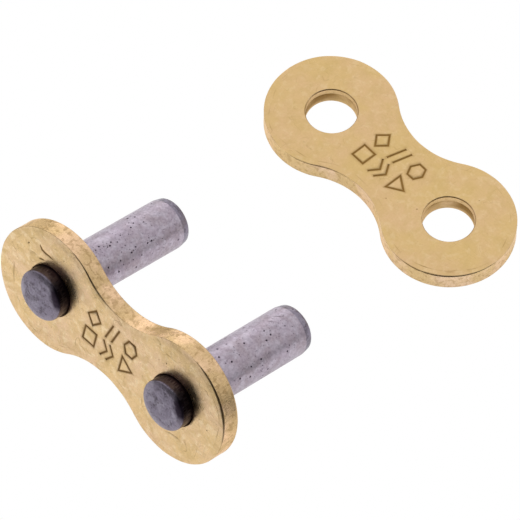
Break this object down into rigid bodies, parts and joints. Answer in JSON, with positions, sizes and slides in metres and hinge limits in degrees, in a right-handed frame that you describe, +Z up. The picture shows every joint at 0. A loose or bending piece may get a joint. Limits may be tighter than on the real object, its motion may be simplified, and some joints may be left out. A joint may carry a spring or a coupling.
{
  "type": "chain connecting link",
  "caption": "Rivet connecting link of a narrow roller chain: a waisted outer plate with staked pins, and the loose cover plate that is pressed over them.",
  "frame": {"origin": "bottom centre of the whole, on the bench: the middle of the box round the leaning pin link and the flat cover plate", "axes": "+X along the pin link's pitch, from its left pin to its right pin; +Y from the pin link to the cover plate, the way the pins point; +Z up"},
  "size_m": [0.0236, 0.0338, 0.0099],
  "materials": {
    "gold_plating": "satin gold-coloured plating on steel",
    "pin_steel": "satin grey hardened steel"
  },
  "bodies": {
    "root": {"pin_plate": "gold_plating", "pin_left": "pin_steel", "pin_right": "pin_steel", "cover_plate": "gold_plating"}
  },
  "joints": []
}
